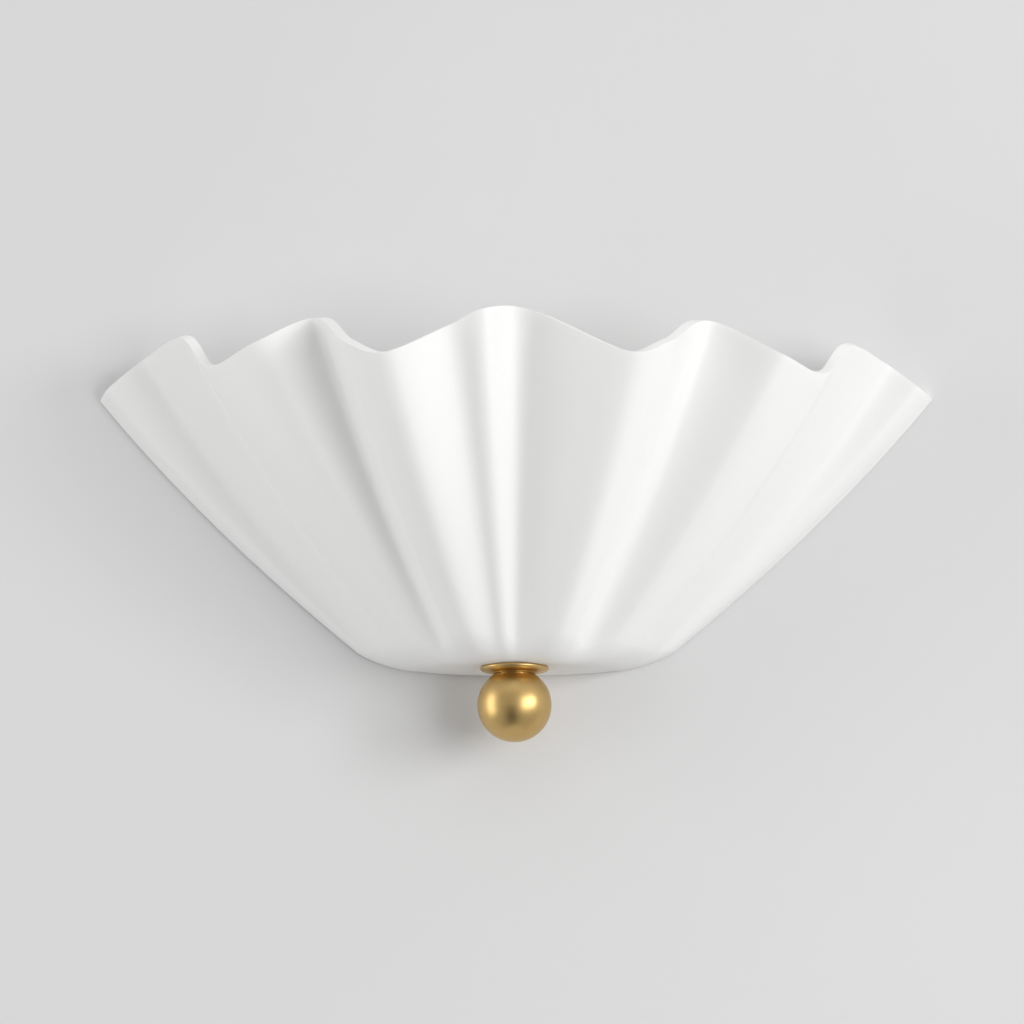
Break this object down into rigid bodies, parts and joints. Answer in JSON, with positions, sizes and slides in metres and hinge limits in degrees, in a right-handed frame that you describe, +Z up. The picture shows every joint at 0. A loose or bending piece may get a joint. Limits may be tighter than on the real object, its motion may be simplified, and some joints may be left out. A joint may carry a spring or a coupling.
{
  "type": "wall sconce",
  "caption": "Ruffled half-bowl wall light in white glazed ceramic, open at the top, hung on a steel bracket and held from below by a brass ball finial.",
  "frame": {"origin": "midway between the two wall screw slots, on the wall plane", "axes": "+Z up, -Y out of the wall into the room, +X to the right seen from the room"},
  "size_m": [0.3658, 0.1057, 0.1822],
  "materials": {
    "glaze": "white satin-gloss glaze over a slip-cast body",
    "brass": "satin lacquered, lathe-turned",
    "zinc_steel": "zinc plated",
    "black_rubber": "moulded, matt",
    "white_paint": "white powder coat",
    "green_paint": "green passivated earth screw",
    "black_cable": "black cable insulation",
    "white_cable": "white cable insulation",
    "orange_plastic": "moulded twist-on connector",
    "porcelain": "unglazed white steatite",
    "nickel": "nickel-plated copper",
    "opal_glass": "white opal glass",
    "solder": "solder drop"
  },
  "bodies": {
    "fixture": {"bar_nuts": "zinc_steel", "bracket_nuts": "zinc_steel", "bracket_screws": "zinc_steel", "cap_nuts": "brass", "collar_gasket": "black_rubber", "cushion_washer": "black_rubber", "finial_stud": "zinc_steel", "foot_nut": "zinc_steel", "ground_screw": "green_paint", "holder_body_left": "porcelain", "holder_body_right": "porcelain", "holder_contact_left": "brass", "holder_contact_right": "brass", "holder_screws": "zinc_steel", "holder_sleeve_left": "nickel", "holder_sleeve_right": "nickel", "lamp_bar": "zinc_steel", "lead_grommets": "black_rubber", "live_connector": "orange_plastic", "live_leads": "black_cable", "mounting_strap": "zinc_steel", "neutral_connector": "orange_plastic", "neutral_leads": "white_cable", "shade_bracket": "zinc_steel", "shade_shell": "glaze", "strap_studs": "zinc_steel", "wall_pan": "white_paint"},
    "finial_collar": {"finial_collar": "brass"},
    "finial_ball": {"finial_ball": "brass"},
    "bulb_tip_left": {"bulb_tip_left": "solder"},
    "bulb_left": {"bulb_cap_left": "nickel", "bulb_glass_left": "opal_glass"},
    "bulb_tip_right": {"bulb_tip_right": "solder"},
    "bulb_right": {"bulb_cap_right": "nickel", "bulb_glass_right": "opal_glass"}
  },
  "joints": [
    {"name": "finial_drop", "type": "slide", "parent": "fixture", "child": "finial_collar", "axis": [0, 0, -1], "range_m": [0, 0.01317]},
    {"name": "finial_turn", "type": "hinge", "parent": "finial_collar", "child": "finial_ball", "pos_m": [0, -0.028, -0.08], "axis": [0, 0, -1], "range_deg": [0, 5041]},
    {"name": "bulb_rise_left", "type": "slide", "parent": "fixture", "child": "bulb_tip_left", "axis": [0, 0, 1], "range_m": [0, 0.00889]},
    {"name": "bulb_turn_left", "type": "hinge", "parent": "bulb_tip_left", "child": "bulb_left", "pos_m": [-0.056, -0.028, 0], "axis": [0, 0, 1], "range_deg": [0, 1261]},
    {"name": "bulb_rise_right", "type": "slide", "parent": "fixture", "child": "bulb_tip_right", "axis": [0, 0, 1], "range_m": [0, 0.00889]},
    {"name": "bulb_turn_right", "type": "hinge", "parent": "bulb_tip_right", "child": "bulb_right", "pos_m": [0.056, -0.028, 0], "axis": [0, 0, 1], "range_deg": [0, 1261]}
  ],
  "couplings": [
    {"joint": "finial_turn", "follows": "finial_drop", "rad_per_m": 6677.1},
    {"joint": "bulb_turn_left", "follows": "bulb_rise_left", "rad_per_m": 2473.7},
    {"joint": "bulb_turn_right", "follows": "bulb_rise_right", "rad_per_m": 2473.7}
  ]
}
